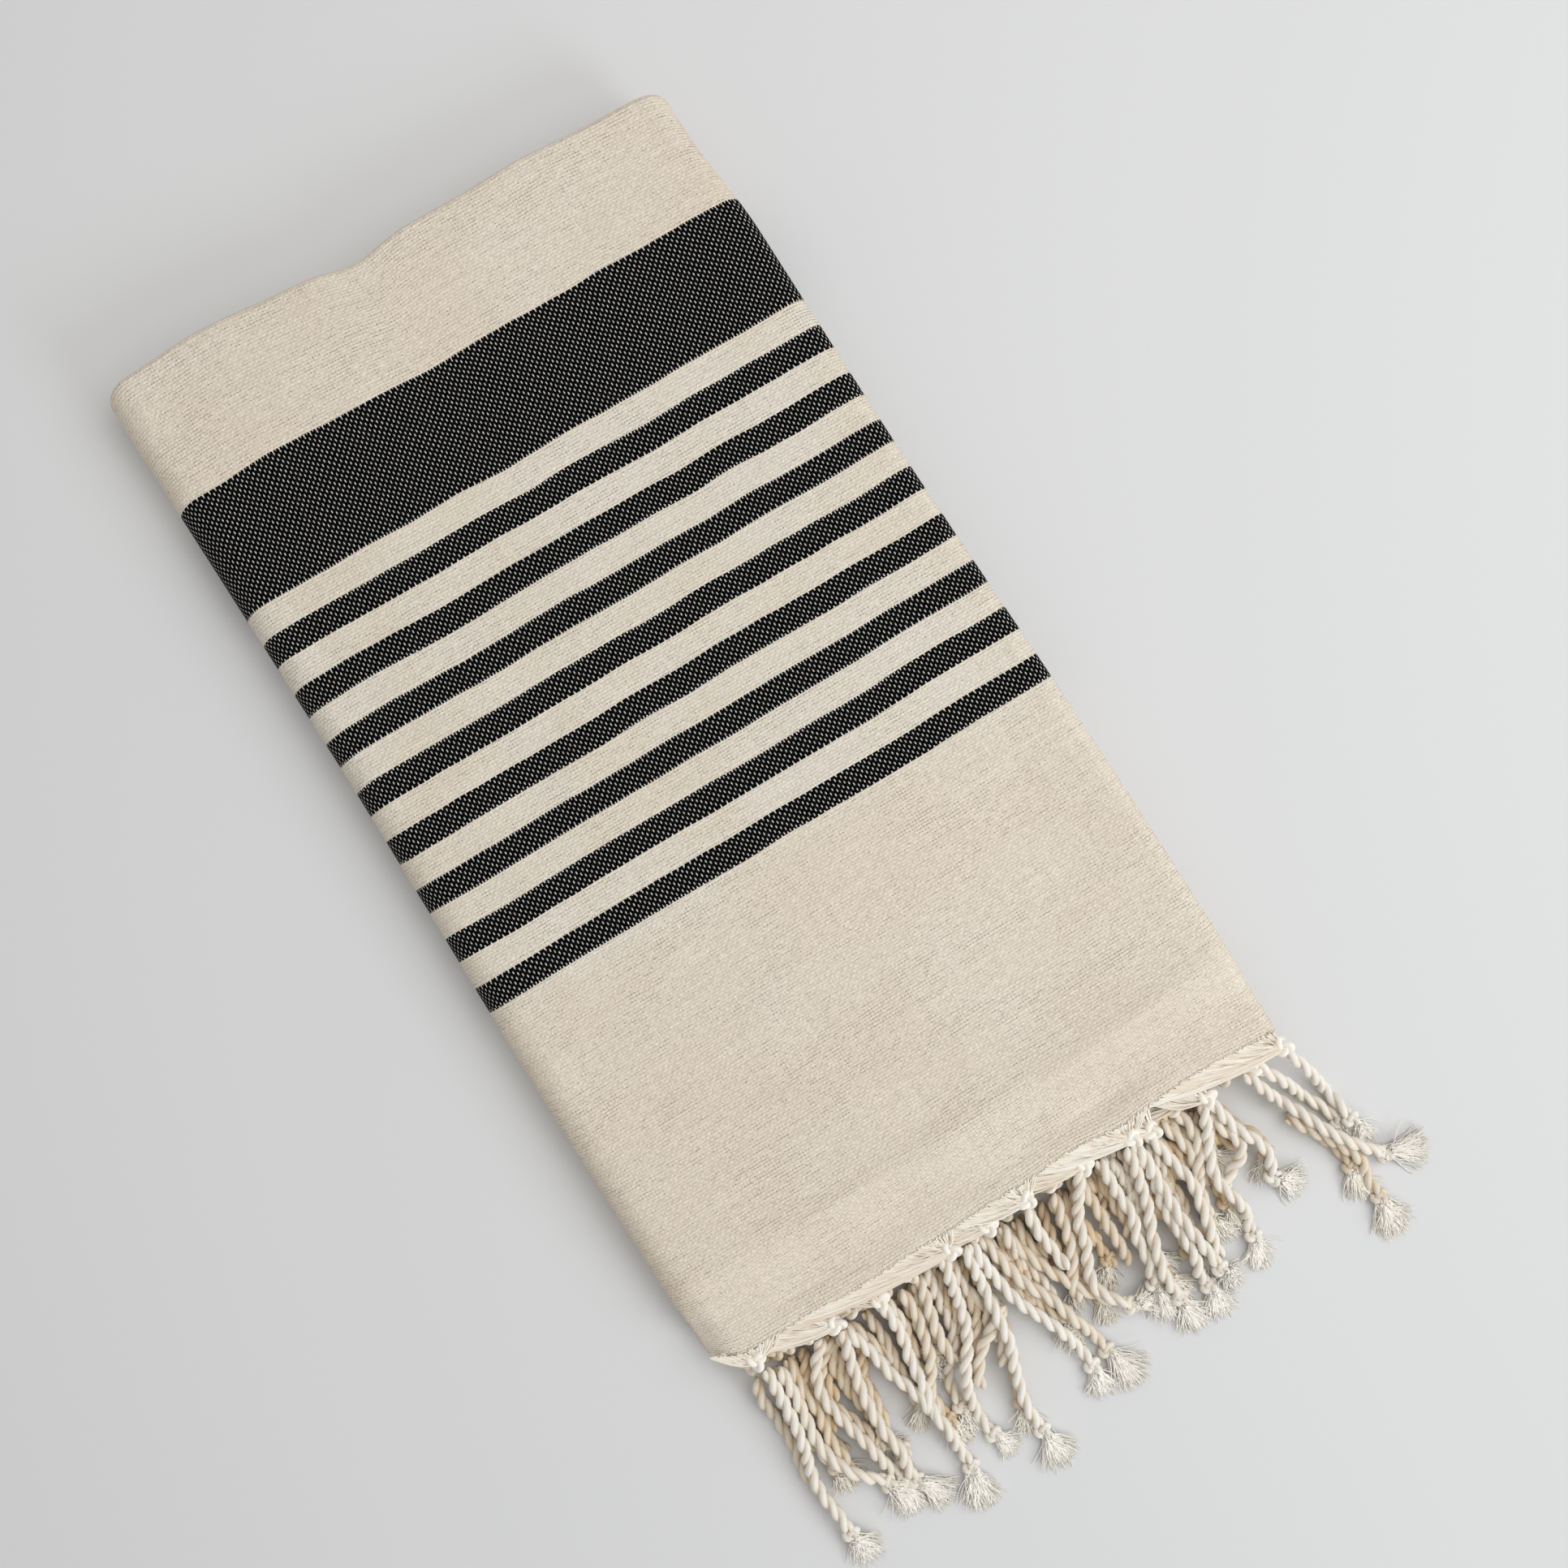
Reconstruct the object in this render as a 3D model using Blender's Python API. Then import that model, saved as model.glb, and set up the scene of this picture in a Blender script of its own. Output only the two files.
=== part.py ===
"""Hammam towel, folded flat, with the knotted fringes of both its ends lying together.

Metres, +Z up. The towel lies on Z = 0. X runs across it and +Y runs from the fringe to the far,
folded end. The sheet is folded in half lengthwise twice, which makes a packet of four levels,
and the packet is then folded in half widthwise twice, which makes a stack of four packets.
The origin is under the middle of the folded towel and its fringe.
"""

import math

import bmesh
import bpy
import numpy as np

# The folded towel
FOLDED_WIDTH = 0.254
FOLDED_LENGTH = 0.4485
CLOTH = 0.0012  # thickness of the cloth
LEVEL_GAP = 0.00045  # air between the levels of one packet
PACKET_GAP = 0.0006  # air between two packets
PIECE_GAP = 0.0003  # between the cloth and its fringe
LEVELS = 4
PACKETS = 4
LEVEL_PITCH = CLOTH + LEVEL_GAP
PACKET = LEVELS * CLOTH + (LEVELS - 1) * LEVEL_GAP

# Where the folds and the free edges stop
NEAR_FOLD_SETBACK = 0.036  # the near fold of a packet lies this far behind the fringed edge
LOWEST_EDGE_SETBACK = 0.003  # woven side edges, from the right-hand fold
INNER_EDGE_SETBACK = 0.006

# The fringe
HEADER_DEPTH = 0.007  # loose ends gathered between the cloth and the knots
HEADER_PINCH = 0.004  # how far inside the header a tooth starts
TEETH_IN_A_ROW = 6
TOOTH_FLOOR_GAP = 0.0002
LEFT_LEAN, RIGHT_LEAN = 0.07, 0.50  # how far the cords lean to the right, for each metre of run
LEVELS_WITH_ENDS = (4, 3)  # the outermost level and the one inside it end in a fringe
# How much shorter each row of cords reaches, from the top row down
ROW_SHORTER = (0.0, 0.006, 0.002, 0.010, 0.004, 0.012, 0.001, 0.008)

# Stations along the cloth from the fringed edge, close together where it bends
ALONG = (0.0, 0.018, 0.027, 0.037, 0.060, 0.170, 0.310)

# How the towel's outline and stripes lean: each metre to the right lies this much nearer
NEAR_SLOPE = 0.0146
FAR_SLOPE = 0.062
FAN_POWER = 1.6
NEAR_SPREAD, SPREAD_FROM, SPREAD_RUN = 0.026, 0.100, 0.200  # the near part lies wider
FAR_TAPER, FAR_TAPER_FROM, FAR_TAPER_RUN = 0.013, 0.380, 0.050
DRIFT_START, DRIFT, FAR_DRIFT = 0.0006, 0.0012, 0.0017  # the middle line wanders to the left
CORNER_RADIUS, CORNER_PULL = 0.014, 0.003
SINK, SINK_RUN = 0.60, 0.018  # how far the hollows between the free ends close, and over what run

# Far edge: bumps and dents on top of its slope
#            x,      rise,   spread
FAR_BUMPS = (
    (-0.080, 0.0026, 0.025),
    (-0.012, -0.0040, 0.014),
    (0.064, 0.0016, 0.018),
)

# Soft swells of the whole stack, as a fraction of the height
#          x,      y,     rise,  spread_x, spread_y
SWELLS = (
    (-0.050, 0.042, 0.030, 0.090, 0.012),
    (0.070, 0.040, 0.040, 0.050, 0.014),
    (0.085, 0.115, -0.045, 0.035, 0.045),
    (-0.080, 0.100, -0.030, 0.050, 0.050),
    (0.000, 0.160, 0.025, 0.080, 0.060),
    (-0.060, 0.430, 0.030, 0.050, 0.040),
    (0.080, 0.425, -0.040, 0.050, 0.035),
)

# How far the cords reach in front of the fringed edge
REACH_X = (-0.125, -0.070, -0.030, 0.010, 0.045, 0.075, 0.100, 0.125)
REACH_Y = (0.095, 0.106, 0.113, 0.105, 0.101, 0.096, 0.090, 0.097)

# A tooth of the comb beyond its header: share of the run, share of the fall, width, height
TOOTH_SECTIONS = (
    (0.16, 0.32, 0.0038, 0.0030),
    (0.36, 0.86, 0.0040, 0.0040),
    (0.58, 1.00, 0.0040, 0.0040),
    (1.00, 1.00, 0.0036, 0.0030),
)


def clear_scene():
    for thing in list(bpy.data.objects):
        bpy.data.objects.remove(thing, do_unlink=True)


def new_collection(name):
    group = bpy.data.collections.new(name)
    bpy.context.scene.collection.children.link(group)
    return group


def material(name, colour, roughness):
    made = bpy.data.materials.new(name)
    made.use_nodes = True
    surface = made.node_tree.nodes["Principled BSDF"]
    surface.inputs["Base Color"].default_value = (*colour, 1.0)
    surface.inputs["Roughness"].default_value = roughness
    surface.inputs["Metallic"].default_value = 0.0
    made.diffuse_color = (*colour, 1.0)
    return made


def ease(value):
    """0 below 0, 1 above 1, and a smooth S between them."""
    part = min(max(value, 0.0), 1.0)
    return part * part * (3.0 - 2.0 * part)


def bell(distance, spread):
    return math.exp(-((distance / spread) ** 2))


# ---------------------------------------------------------------- how the folded stack lies


def settle(z, y):
    """The fringed ends have no folds between them, so the stack sinks towards the fringe."""
    ends = len(LEVELS_WITH_ENDS) * LEVEL_PITCH
    hollow = 2.0 * (PACKET - ends) + PACKET_GAP
    lower = ends
    upper = lower + 2.0 * (PACKET + PACKET_GAP)
    pressed = min(max(z - lower, 0.0), hollow) + min(max(z - upper, 0.0), hollow)
    return z - SINK * ease((NEAR_FOLD_SETBACK - y) / SINK_RUN) * pressed


def lie(x, y, z):
    """Moves a point of the ideal square stack to where it lies in the real, uneven one."""
    along = max(y / FOLDED_LENGTH, 0.0)
    spread = NEAR_SPREAD * (1.0 - ease((y - SPREAD_FROM) / SPREAD_RUN))
    far = ease((y - FAR_TAPER_FROM) / FAR_TAPER_RUN)
    drift = DRIFT_START + DRIFT * along + FAR_DRIFT * far
    placed_x = x * (1.0 + spread - FAR_TAPER * far) - drift
    slope = NEAR_SLOPE + (FAR_SLOPE - NEAR_SLOPE) * along**FAN_POWER
    bumps = sum(rise * bell(x - at, spread) for at, rise, spread in FAR_BUMPS)
    corner = max(abs(x) - (FOLDED_WIDTH / 2.0 - CORNER_RADIUS), 0.0) / CORNER_RADIUS
    placed_y = y - slope * x + bumps * along**8 - CORNER_PULL * corner**2 * along**10
    swell = sum(
        rise * bell(x - at_x, spread_x) * bell(y - at_y, spread_y)
        for at_x, at_y, rise, spread_x, spread_y in SWELLS
    )
    return placed_x, placed_y, settle(z, y) * (1.0 + swell)


# ---------------------------------------------------------------- the two folding paths


def arc(centre, radius, start, end, steps):
    """Points of an arc after its first one and before its last one, angles in degrees."""
    found = []
    for step in range(1, steps):
        angle = math.radians(start + (end - start) * step / steps)
        found.append(
            (centre[0] + radius * math.cos(angle), centre[1] + radius * math.sin(angle))
        )
    return found


def level_middle(level):
    return CLOTH / 2.0 + (level - 1) * LEVEL_PITCH


def sheet_side(side):
    """One side of the sheet in a packet, as (y, n) points from the end at level 4 to the end
    at level 3: to the far end and round to level 1, back to the near fold and level 2, and
    again to the far end and round to level 3. side is +1 for the outer face, -1 for the inner."""
    half = side * CLOTH / 2.0
    middle = PACKET / 2.0
    fold_y = FOLDED_LENGTH - middle
    outer_far = (level_middle(4) - level_middle(1)) / 2.0
    inner_far = (level_middle(3) - level_middle(2)) / 2.0
    near_radius = LEVEL_PITCH / 2.0
    near_n = near_radius + CLOTH / 2.0
    near_centre = (NEAR_FOLD_SETBACK + near_n, near_n)
    short = [near_centre[0], *[y for y in ALONG if y > near_centre[0] + PACKET / 2.0], fold_y]
    full = [*ALONG, fold_y]
    points = [(y, level_middle(4) + half) for y in full]
    points += arc((fold_y, middle), outer_far + half, 90, -90, 6)
    points += [(y, level_middle(1) - half) for y in reversed(short)]
    points += arc(near_centre, near_radius + half, 270, 90, 4)
    points += [(y, level_middle(2) + half) for y in short]
    points += arc((fold_y, middle), inner_far - half, -90, 90, 4)
    points += [(y, level_middle(3) - half) for y in reversed(full)]
    return points


def packet_outline():
    """Closed outline (y, n) of the four levels of one packet."""
    return sheet_side(1) + list(reversed(sheet_side(-1)))


def width_path():
    """The packet's inner face across the towel, as (x, z, nx, nz) with the outward normal:
    the bottom packet leftwards, round the left side to the top packet, round the right side
    to the packet below it, and round inside the left fold to the packet above the bottom one."""
    half = FOLDED_WIDTH / 2.0
    left_radius = PACKET + 1.5 * PACKET_GAP
    inner_radius = PACKET + 0.5 * PACKET_GAP
    right_radius = 0.5 * PACKET_GAP
    left_x = -half + left_radius + PACKET
    right_x = half - right_radius - PACKET
    low_z = 2.0 * PACKET + 1.5 * PACKET_GAP
    high_z = 3.0 * PACKET + 2.5 * PACKET_GAP
    across = [left_x + share * (right_x - left_x) for share in (0.0, 0.3, 0.5, 0.7, 1.0)]

    def flat(places, z, up):
        return [(x, z, 0.0, up) for x in places]

    def turn(x, z, radius, start, end, steps, out):
        return [
            (px, pz, out * (px - x) / radius, out * (pz - z) / radius)
            for px, pz in arc((x, z), radius, start, end, steps)
        ]

    free = half - LOWEST_EDGE_SETBACK
    inner_free = half - INNER_EDGE_SETBACK
    path = flat([free, *reversed(across)], PACKET, -1.0)
    path += turn(left_x, low_z, left_radius, 270, 90, 8, 1.0)
    path += flat(across, 3.0 * (PACKET + PACKET_GAP), 1.0)
    path += turn(right_x, high_z, right_radius, 90, -90, 6, 1.0)
    path += flat(reversed(across), 3.0 * PACKET + 2.0 * PACKET_GAP, -1.0)
    path += turn(left_x, low_z, inner_radius, 90, 270, 6, -1.0)
    path += flat([*across, inner_free], PACKET + PACKET_GAP, 1.0)
    return path


def on_path(station, y, n):
    x, z, normal_x, normal_z = station
    return lie(x + n * normal_x, y, z + n * normal_z)


def skin_quad(shape, corners, rising):
    """Two triangles, split along the diagonal that rises, so that the layers' facets nest."""
    near_low, near_high, far_high, far_low = corners
    if rising:
        shape.faces.new((near_low, near_high, far_high))
        shape.faces.new((near_low, far_high, far_low))
    else:
        shape.faces.new((near_high, far_high, far_low))
        shape.faces.new((near_high, far_low, near_low))


def sweep(outline, path):
    """A closed outline (y, n) carried along the path, with both ends capped. The second half of
    the outline comes back beside the first, so each cap is a strip between the two."""
    shape = bmesh.new()
    rings = [[shape.verts.new(on_path(station, y, n)) for y, n in outline] for station in path]
    count = len(outline)
    for k in range(len(path) - 1):
        x, z, normal_x, _ = path[k]
        next_x, next_z, next_normal_x, _ = path[k + 1]
        is_flat = normal_x == 0.0 and next_normal_x == 0.0
        onward = next_x - x if is_flat else next_z - z
        for i in range(count):
            j = (i + 1) % count
            corners = (rings[k][i], rings[k][j], rings[k + 1][j], rings[k + 1][i])
            skin_quad(shape, corners, onward * (outline[j][0] - outline[i][0]) > 0.0)
    for ring in (rings[0], rings[-1]):
        for i in range(count // 2 - 1):
            shape.faces.new((ring[i], ring[i + 1], ring[-i - 2], ring[-i - 1]))
    bmesh.ops.recalc_face_normals(shape, faces=list(shape.faces))
    return shape


def add_object(name, shape, finish, group):
    mesh = bpy.data.meshes.new(name)
    shape.to_mesh(mesh)
    shape.free()
    mesh.materials.append(finish)
    mesh.shade_smooth()
    mesh.set_sharp_from_angle(angle=math.radians(50))
    made = bpy.data.objects.new(name, mesh)
    group.objects.link(made)
    return made


# ---------------------------------------------------------------- cloth


def towel_cloth(group, finish):
    return add_object("towel_cloth", sweep(packet_outline(), width_path()), finish, group)


# ---------------------------------------------------------------- fringes


def header_outline(level):
    back = -PIECE_GAP
    front = back - HEADER_DEPTH
    low = level_middle(level) - CLOTH / 2.0
    high = low + CLOTH
    return [(back, high), (back, low), (front, low), (front, high)]


def box_section(shape, middle, width, height):
    x, y, z = middle
    corners = ((-1, -1), (1, -1), (1, 1), (-1, 1))
    return [
        shape.verts.new((x + side * width / 2.0, y, z + up * height / 2.0))
        for side, up in corners
    ]


def tooth(shape, x, level, packet, row):
    """One tooth: it starts inside the header, falls to the ground and lies on it."""
    facing_up = packet % 2 == 1
    bottom = packet * (PACKET + PACKET_GAP)
    n = level_middle(level)
    ideal_z = bottom + n if facing_up else bottom + PACKET - n
    front = -PIECE_GAP - HEADER_DEPTH
    start = lie(x, front + HEADER_PINCH, ideal_z)
    mouth = lie(x, front - 0.0006, ideal_z)
    share = (x + FOLDED_WIDTH / 2.0) / FOLDED_WIDTH
    lean = LEFT_LEAN + (RIGHT_LEAN - LEFT_LEAN) * share**2
    length = np.interp(x, REACH_X, REACH_Y) - ROW_SHORTER[row] + mouth[1]
    rings = [box_section(shape, start, 0.0030, 0.0007), box_section(shape, mouth, 0.0030, 0.0007)]
    for run, fall, width, height in TOOTH_SECTIONS:
        rest = height / 2.0 + TOOTH_FLOOR_GAP
        place = (
            mouth[0] + lean * length * run,
            mouth[1] - length * run,
            max(mouth[2] + (rest - mouth[2]) * fall, rest),
        )
        rings.append(box_section(shape, place, width, height))
    for ring, following in zip(rings, rings[1:]):
        for i in range(4):
            j = (i + 1) % 4
            shape.faces.new((ring[i], ring[j], following[j], following[i]))
    shape.faces.new(rings[0])
    shape.faces.new(rings[-1])


def fringe(name, level, group, cutters, finish):
    """The comb of one end of the sheet: a header along the whole folded edge, and its teeth."""
    header = add_object(name, sweep(header_outline(level), width_path()), finish, group)
    teeth = bmesh.new()
    left = -FOLDED_WIDTH / 2.0 + 0.016
    right = FOLDED_WIDTH / 2.0 - 0.009
    rows = PACKETS * len(LEVELS_WITH_ENDS)
    lane = (right - left) / (rows * TEETH_IN_A_ROW - 1)
    for packet in range(PACKETS):
        row = (PACKETS - 1 - packet) * len(LEVELS_WITH_ENDS) + LEVELS_WITH_ENDS.index(level)
        for number in range(TEETH_IN_A_ROW):
            tooth(teeth, left + lane * (row + rows * number), level, packet, row)
    bmesh.ops.recalc_face_normals(teeth, faces=list(teeth.faces))
    cutter = add_object(name + "_teeth", teeth, finish, cutters)
    cutter.hide_render = True
    cutter.display_type = "WIRE"
    join = header.modifiers.new("join_teeth", "BOOLEAN")
    join.operation = "UNION"
    join.solver = "EXACT"
    join.object = cutter
    return header


# ---------------------------------------------------------------- the whole towel


def centre_on_origin(pieces, helpers):
    """Moves every mesh so that the origin is under the middle of the towel with its fringe."""
    bpy.context.view_layer.update()
    graph = bpy.context.evaluated_depsgraph_get()
    corners = []
    for piece in pieces:
        corners += [tuple(corner) for corner in piece.evaluated_get(graph).bound_box]
    corners = np.array(corners)
    middle = (corners.min(axis=0) + corners.max(axis=0)) / 2.0
    for thing in pieces + helpers:
        for vertex in thing.data.vertices:
            vertex.co.x -= middle[0]
            vertex.co.y -= middle[1]


def build():
    clear_scene()
    towel = new_collection("hammam_towel")
    cutters = new_collection("cutters")
    cloth_finish = material("woven_cotton", (0.73, 0.67, 0.57), 0.9)
    outer_finish = material("fringe_cotton", (0.80, 0.76, 0.68), 0.85)
    inner_finish = material("shaded_fringe_cotton", (0.66, 0.60, 0.49), 0.85)
    cloth = towel_cloth(towel, cloth_finish)
    outer = fringe("fringe_outer_end", 4, towel, cutters, outer_finish)
    inner = fringe("fringe_inner_end", 3, towel, cutters, inner_finish)
    centre_on_origin([cloth, outer, inner], list(cutters.objects))


build()
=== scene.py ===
import math

import bpy
import numpy as np
from mathutils import Matrix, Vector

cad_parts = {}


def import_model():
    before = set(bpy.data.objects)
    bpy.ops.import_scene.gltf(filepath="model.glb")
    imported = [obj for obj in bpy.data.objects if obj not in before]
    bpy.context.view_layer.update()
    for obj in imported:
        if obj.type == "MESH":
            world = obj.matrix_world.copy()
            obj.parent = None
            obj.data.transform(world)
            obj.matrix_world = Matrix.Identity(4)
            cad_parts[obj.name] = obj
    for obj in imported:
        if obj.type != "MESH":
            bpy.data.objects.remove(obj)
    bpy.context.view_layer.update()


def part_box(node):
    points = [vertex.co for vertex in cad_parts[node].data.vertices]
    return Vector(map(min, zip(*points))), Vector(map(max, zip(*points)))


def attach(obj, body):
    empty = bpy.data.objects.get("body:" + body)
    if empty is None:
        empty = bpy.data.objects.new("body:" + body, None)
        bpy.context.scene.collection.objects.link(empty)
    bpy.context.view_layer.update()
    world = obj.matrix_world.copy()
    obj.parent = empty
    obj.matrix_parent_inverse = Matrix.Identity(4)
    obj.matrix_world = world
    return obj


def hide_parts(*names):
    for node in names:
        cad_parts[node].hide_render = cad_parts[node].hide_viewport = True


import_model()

MM = 0.001
rng = np.random.default_rng(19)

# ---------------------------------------------------------------- the towel's own sizes

FOLDED_WIDTH = 0.254
FOLDED_LENGTH = 0.4485
LEVEL = 0.0012  # room that each level takes
LEVEL_GAP = 0.00045
PACKET_GAP = 0.0006
LEVEL_PITCH = LEVEL + LEVEL_GAP
PACKET = 4 * LEVEL + 3 * LEVEL_GAP
CLOTH = 0.00105  # real thickness of the weave
END_THINNING, THINNING_RUN = 0.35, 0.005  # the raw ends are thinner, as a share, and over this run
NEAR_FOLD_SETBACK = 0.036
LOWEST_EDGE_SETBACK = 0.003
INNER_EDGE_SETBACK = 0.006

NEAR_SLOPE, FAR_SLOPE, FAN_POWER = 0.0146, 0.062, 1.6
NEAR_SPREAD, SPREAD_FROM, SPREAD_RUN = 0.026, 0.100, 0.200
FAR_TAPER, FAR_TAPER_FROM, FAR_TAPER_RUN = 0.013, 0.380, 0.050
DRIFT_START, DRIFT, FAR_DRIFT = 0.0006, 0.0012, 0.0017
CORNER_RADIUS, CORNER_PULL = 0.014, 0.003
SINK, SINK_RUN = 0.60, 0.018

# Bumps and dents of the far edge: x, rise, spread
FAR_BUMPS = ((-0.080, 0.0026, 0.025), (-0.012, -0.0040, 0.014), (0.064, 0.0016, 0.018))

# Soft swells of the whole stack: x, y, rise as a share of the height, spread across, spread along
SWELLS = (
    (-0.050, 0.042, 0.030, 0.090, 0.012),
    (0.070, 0.040, 0.040, 0.050, 0.014),
    (0.085, 0.115, -0.045, 0.035, 0.045),
    (-0.080, 0.100, -0.030, 0.050, 0.050),
    (0.000, 0.160, 0.025, 0.080, 0.060),
    (-0.060, 0.430, 0.030, 0.050, 0.040),
    (0.080, 0.425, -0.040, 0.050, 0.035),
    (0.056, 0.013, -0.130, 0.014, 0.007),
    (-0.082, 0.010, -0.090, 0.020, 0.007),
    (0.012, 0.012, -0.070, 0.022, 0.006),
    (-0.035, 0.014, -0.060, 0.020, 0.006),
    (0.000, 0.000, 0.070, 0.150, 0.005),
)

# How the woven edge itself waves between the knots: x, shift to the far side, spread
EDGE_WAVES = (
    (-0.129, 0.0065, 0.011),
    (-0.060, -0.0012, 0.018),
    (-0.025, -0.0008, 0.010),
    (0.032, 0.0010, 0.014),
    (0.057, -0.0010, 0.008),
    (0.090, 0.0010, 0.015),
    (0.127, -0.0010, 0.010),
)

# Soft ridges and troughs that run across the stack: x, y, heading in degrees, height, width, length
CREASES = (
    (-0.010, 0.0325, -1, 0.0020, 0.0055, 0.075),
    (-0.100, 0.0260, -8, 0.0016, 0.0050, 0.020),
    (0.085, 0.0350, 6, 0.0016, 0.0060, 0.040),
    (0.000, 0.0160, 2, 0.0007, 0.0040, 0.120),
    (0.020, 0.0480, 3, -0.0006, 0.0060, 0.050),
    (0.060, 0.0110, 4, -0.0014, 0.0045, 0.022),
    (-0.055, 0.0120, 0, -0.0008, 0.0040, 0.030),
    (-0.040, 0.062, 4, 0.0005, 0.007, 0.060),
    (0.050, 0.070, -6, -0.0005, 0.008, 0.050),
    (0.092, 0.130, 70, -0.0006, 0.010, 0.050),
    (-0.085, 0.230, 84, 0.0005, 0.010, 0.080),
    (0.040, 0.300, 88, -0.0004, 0.012, 0.070),
    (-0.020, 0.120, 30, 0.0004, 0.010, 0.045),
    (0.000, 0.425, 2, 0.0006, 0.010, 0.070),
    (-0.105, 0.330, 86, -0.0006, 0.007, 0.060),
    (0.108, 0.360, 92, 0.0005, 0.007, 0.060),
)

# ---------------------------------------------------------------- how the stack lies


def ease(value):
    part = np.clip(value, 0.0, 1.0)
    return part * part * (3.0 - 2.0 * part)


def bell(distance, spread):
    return np.exp(-((distance / spread) ** 2))


def settle(z, y):
    ends = 2 * LEVEL_PITCH
    hollow = 2.0 * (PACKET - ends) + PACKET_GAP
    upper = ends + 2.0 * (PACKET + PACKET_GAP)
    pressed = np.clip(z - ends, 0.0, hollow) + np.clip(z - upper, 0.0, hollow)
    return z - SINK * ease((NEAR_FOLD_SETBACK - y) / SINK_RUN) * pressed


def lie(x, y, z):
    """Where a point of the square, ideal stack lies in the real, uneven one."""
    along = np.maximum(y / FOLDED_LENGTH, 0.0)
    spread = NEAR_SPREAD * (1.0 - ease((y - SPREAD_FROM) / SPREAD_RUN))
    far = ease((y - FAR_TAPER_FROM) / FAR_TAPER_RUN)
    drift = DRIFT_START + DRIFT * along + FAR_DRIFT * far
    placed_x = x * (1.0 + spread - FAR_TAPER * far) - drift
    slope = NEAR_SLOPE + (FAR_SLOPE - NEAR_SLOPE) * along**FAN_POWER
    bumps = sum(rise * bell(x - at, spread) for at, rise, spread in FAR_BUMPS)
    corner = np.maximum(np.abs(x) - (FOLDED_WIDTH / 2.0 - CORNER_RADIUS), 0.0) / CORNER_RADIUS
    placed_y = y - slope * x + bumps * along**8 - CORNER_PULL * corner**2 * along**10
    waves = sum(rise * bell(x - at, wide) for at, rise, wide in EDGE_WAVES)
    placed_y = placed_y + waves * ease(1.0 - y / 0.022)
    swell = sum(
        rise * bell(x - at_x, spread_x) * bell(y - at_y, spread_y)
        for at_x, at_y, rise, spread_x, spread_y in SWELLS
    )
    crease = 0.0
    for at_x, at_y, heading, height, width, length in CREASES:
        turn = math.radians(heading)
        run = (x - at_x) * math.cos(turn) + (y - at_y) * math.sin(turn)
        off = (y - at_y) * math.cos(turn) - (x - at_x) * math.sin(turn)
        crease = crease + height / 0.027 * bell(run, length) * bell(off, width)
    ripple = 0.006 * np.sin(x * 95 + y * 31 + 0.6) * np.sin(y * 70 - x * 22)
    ripple = ripple + 0.004 * np.sin(x * 170 - y * 60 + 2.0) * np.sin(y * 128 + 1.1)
    droop = 0.05 * ease(1.0 - y / 0.007)
    return placed_x, placed_y, settle(z, y) * (1.0 + swell + crease + ripple - droop)


# ---------------------------------------------------------------- meshes


def make_mesh(name, points, faces, uvs=None, finish=None, smooth=True):
    mesh = bpy.data.meshes.new(name)
    points = np.asarray(points, float)
    faces = np.asarray(faces, int)
    mesh.vertices.add(len(points))
    mesh.vertices.foreach_set("co", points.ravel())
    mesh.loops.add(faces.size)
    mesh.loops.foreach_set("vertex_index", faces.ravel())
    mesh.polygons.add(len(faces))
    width = faces.shape[1]
    mesh.polygons.foreach_set("loop_start", np.arange(0, faces.size, width))
    mesh.polygons.foreach_set("use_smooth", np.full(len(faces), smooth))
    if uvs is not None:
        layer = mesh.uv_layers.new(name="measure")
        layer.data.foreach_set("uv", np.asarray(uvs, float).ravel())
    mesh.update(calc_edges=True)
    mesh.validate()
    if finish is not None:
        mesh.materials.append(finish)
    made = bpy.data.objects.new(name, mesh)
    bpy.context.scene.collection.objects.link(made)
    return made


# ---------------------------------------------------------------- the folded sheet


def arc(centre, radius, start, end, steps):
    angles = np.radians(np.linspace(start, end, steps + 1)[1:-1])
    return [(centre[0] + radius * math.cos(a), centre[1] + radius * math.sin(a)) for a in angles]


def level_middle(level):
    return LEVEL / 2.0 + (level - 1) * LEVEL_PITCH


def half_thickness(y):
    """Half the cloth's thickness, which thins towards the raw ends."""
    return CLOTH / 2.0 * (END_THINNING + (1.0 - END_THINNING) * ease(y / THINNING_RUN))


def sheet_side(side):
    """One face of the sheet in a packet, (y, n) from the end at level 4 to the end at level 3."""
    half = side * CLOTH / 2.0

    def thin(y):
        return side * half_thickness(y)

    middle = PACKET / 2.0
    fold_y = FOLDED_LENGTH - middle
    outer_far = (level_middle(4) - level_middle(1)) / 2.0
    inner_far = (level_middle(3) - level_middle(2)) / 2.0
    near_radius = LEVEL_PITCH / 2.0
    near_n = near_radius + LEVEL / 2.0
    near_y = NEAR_FOLD_SETBACK + near_n
    near_end = 0.044  # the stack steps down up to here, so its outline has more points
    fine = np.concatenate([np.arange(0.0, near_end, 0.002), np.linspace(near_end, fold_y, 76)])
    plain = np.concatenate([np.arange(0.0, near_end, 0.0028), np.linspace(0.0448, fold_y, 30)])
    short = np.concatenate([[near_y], plain[plain > near_y + 0.0025]])
    points = [(y, level_middle(4) + thin(y)) for y in fine]
    points += arc((fold_y, middle), outer_far + half, 90, -90, 14)
    points += [(y, level_middle(1) - half) for y in short[::-1]]
    points += arc((near_y, near_n), near_radius + half, 270, 90, 8)
    points += [(y, level_middle(2) + half) for y in short]
    points += arc((fold_y, middle), inner_far - half, -90, 90, 6)
    points += [(y, level_middle(3) - thin(y)) for y in plain[::-1]]
    return np.array(points)


TOP_STATIONS = 66  # across the visible top of the stack


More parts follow.
